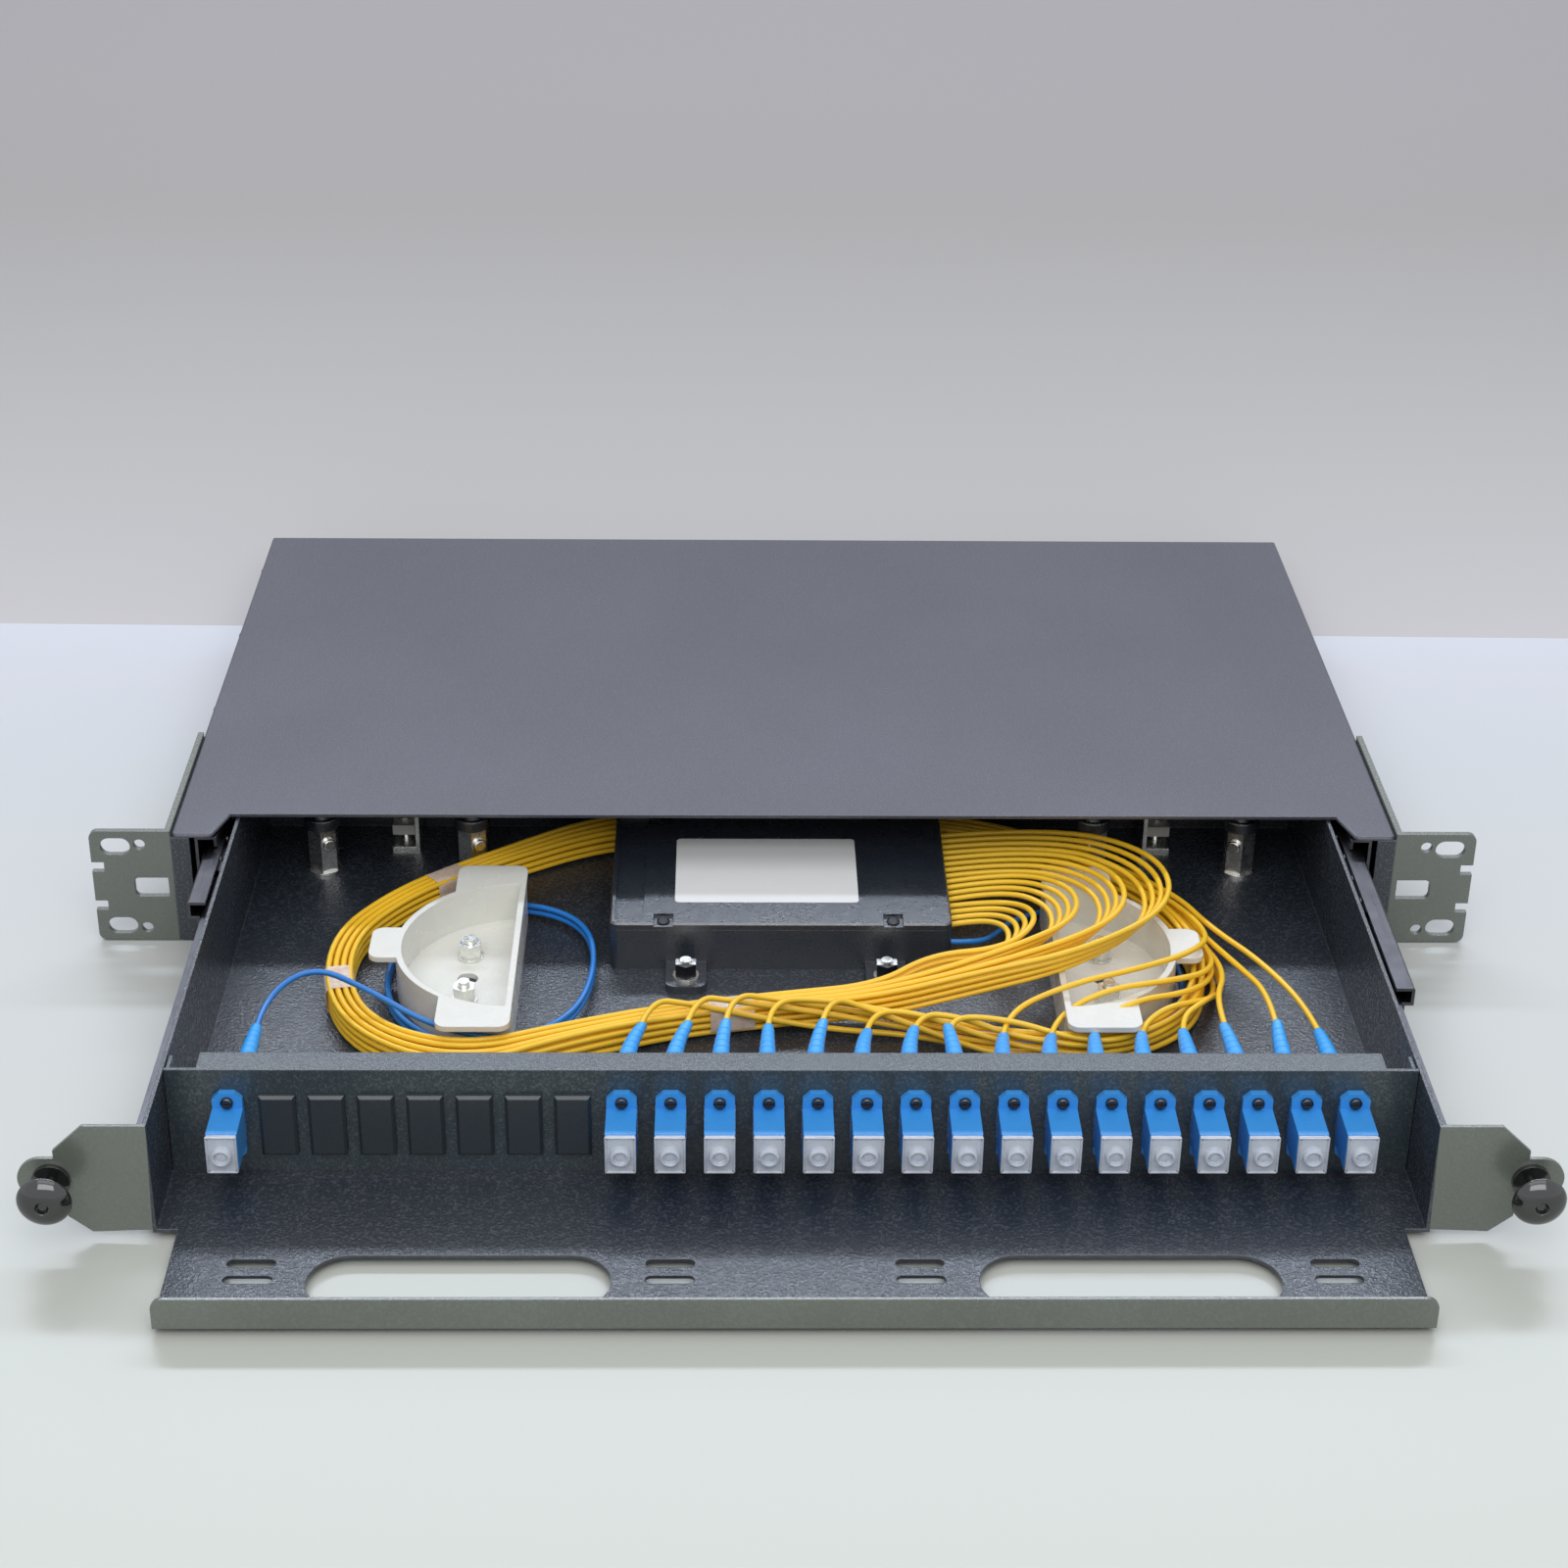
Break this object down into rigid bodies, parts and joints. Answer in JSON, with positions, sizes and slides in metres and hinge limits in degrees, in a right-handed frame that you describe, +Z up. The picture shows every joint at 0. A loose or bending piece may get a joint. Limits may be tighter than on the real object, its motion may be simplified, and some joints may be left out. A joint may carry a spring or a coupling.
{
  "type": "fibre splitter drawer",
  "caption": "Rack drawer of folded steel, pulled part-way out on ball slides, with an optical splitter box, two fibre spools and a front row of adapters.",
  "frame": {"origin": "middle of the four rack slots, on the front plane of the rack ears", "axes": "+X to the right seen from the front, +Y into the rack, +Z up"},
  "size_m": [0.4826, 0.4755, 0.0439],
  "materials": {
    "textured_coat": "semi-gloss black powder coat with a fine orange-peel texture",
    "ear_coat": "semi-gloss black powder coat",
    "plated_screws": "black plated screws",
    "slide_steel": "black zinc-plated rolled steel, lightly greased",
    "zinc": "bright zinc plate",
    "black_plastic": "black moulded plastic with a fine grain",
    "latch_black": "glossy black plastic",
    "label_white": "bare white printed-label stock with no print",
    "module_steel": "bare stainless steel",
    "spool_ivory": "ivory moulded plastic",
    "adapter_blue": "blue moulded plastic",
    "cap_clear": "cloudy clear soft plastic",
    "plug_blue": "blue moulded plastic",
    "fibre_yellow": "yellow-orange cable jacket",
    "fibre_blue": "blue cable jacket",
    "tape_film": "thin translucent film"
  },
  "bodies": {
    "chassis": {"chassis_base": "textured_coat", "chassis_cover": "textured_coat", "rack_ear_left": "ear_coat", "rack_ear_right": "ear_coat", "chassis_screws": "plated_screws", "slide_standoffs": "zinc", "slide_outer_left": "slide_steel", "slide_outer_right": "slide_steel"},
    "drawer": {"drawer_tray": "textured_coat", "adapter_panel": "textured_coat", "slide_inner_left": "slide_steel", "slide_inner_right": "slide_steel", "latch_grommet_left": "latch_black", "latch_grommet_right": "latch_black", "adapter_screws": "plated_screws", "dust_caps": "cap_clear", "sc_connectors": "plug_blue", "connector_boots": "plug_blue", "blank_plugs": "black_plastic", "splitter_case": "black_plastic", "splitter_lid": "black_plastic", "splitter_label": "label_white", "splitter_chip": "module_steel", "splitter_fasteners": "zinc", "spool_left": "spool_ivory", "spool_right": "spool_ivory", "spool_nuts": "zinc", "strength_posts": "zinc", "post_caps": "black_plastic", "post_screws": "zinc", "cable_clamps": "zinc", "clamp_saddles": "black_plastic", "sc_adapter_01": "adapter_blue", "sc_adapter_02": "adapter_blue", "sc_adapter_03": "adapter_blue", "sc_adapter_04": "adapter_blue", "sc_adapter_05": "adapter_blue", "sc_adapter_06": "adapter_blue", "sc_adapter_07": "adapter_blue", "sc_adapter_08": "adapter_blue", "sc_adapter_09": "adapter_blue", "sc_adapter_10": "adapter_blue", "sc_adapter_11": "adapter_blue", "sc_adapter_12": "adapter_blue", "sc_adapter_13": "adapter_blue", "sc_adapter_14": "adapter_blue", "sc_adapter_15": "adapter_blue", "sc_adapter_16": "adapter_blue", "sc_adapter_17": "adapter_blue", "input_fibre": "fibre_blue", "output_fibres": "fibre_yellow", "tape_wraps": "tape_film"},
    "middle_left": {"slide_middle_left": "slide_steel"},
    "cage_outer_left": {"ball_cage_outer_left": "slide_steel"},
    "cage_inner_left": {"ball_cage_inner_left": "slide_steel"},
    "latch_left": {"latch_plunger_left": "latch_black"},
    "middle_right": {"slide_middle_right": "slide_steel"},
    "cage_outer_right": {"ball_cage_outer_right": "slide_steel"},
    "cage_inner_right": {"ball_cage_inner_right": "slide_steel"},
    "latch_right": {"latch_plunger_right": "latch_black"}
  },
  "joints": [
    {"name": "drawer_slide", "type": "slide", "parent": "chassis", "child": "drawer", "axis": [0, 1, 0], "range_m": [-0.06, 0.171]},
    {"name": "middle_left_slide", "type": "slide", "parent": "chassis", "child": "middle_left", "axis": [0, 1, 0], "range_m": [-0.01333, 0.038]},
    {"name": "cage_outer_left_slide", "type": "slide", "parent": "chassis", "child": "cage_outer_left", "axis": [0, 1, 0], "range_m": [-0.00667, 0.019]},
    {"name": "cage_inner_left_slide", "type": "slide", "parent": "chassis", "child": "cage_inner_left", "axis": [0, 1, 0], "range_m": [-0.03667, 0.1045]},
    {"name": "middle_right_slide", "type": "slide", "parent": "chassis", "child": "middle_right", "axis": [0, 1, 0], "range_m": [-0.03193, 0.091]},
    {"name": "cage_outer_right_slide", "type": "slide", "parent": "chassis", "child": "cage_outer_right", "axis": [0, 1, 0], "range_m": [-0.01597, 0.0455]},
    {"name": "cage_inner_right_slide", "type": "slide", "parent": "chassis", "child": "cage_inner_right", "axis": [0, 1, 0], "range_m": [-0.04596, 0.131]},
    {"name": "latch_left_push", "type": "slide", "parent": "drawer", "child": "latch_left", "axis": [0, 1, 0], "range_m": [0, 0.006]},
    {"name": "latch_right_push", "type": "slide", "parent": "drawer", "child": "latch_right", "axis": [0, 1, 0], "range_m": [0, 0.006]}
  ],
  "couplings": [
    {"joint": "middle_left_slide", "follows": "drawer_slide", "ratio": 0.22222},
    {"joint": "cage_outer_left_slide", "follows": "drawer_slide", "ratio": 0.11111},
    {"joint": "cage_inner_left_slide", "follows": "drawer_slide", "ratio": 0.61111},
    {"joint": "middle_right_slide", "follows": "drawer_slide", "ratio": 0.53216},
    {"joint": "cage_outer_right_slide", "follows": "drawer_slide", "ratio": 0.26608},
    {"joint": "cage_inner_right_slide", "follows": "drawer_slide", "ratio": 0.76608}
  ]
}
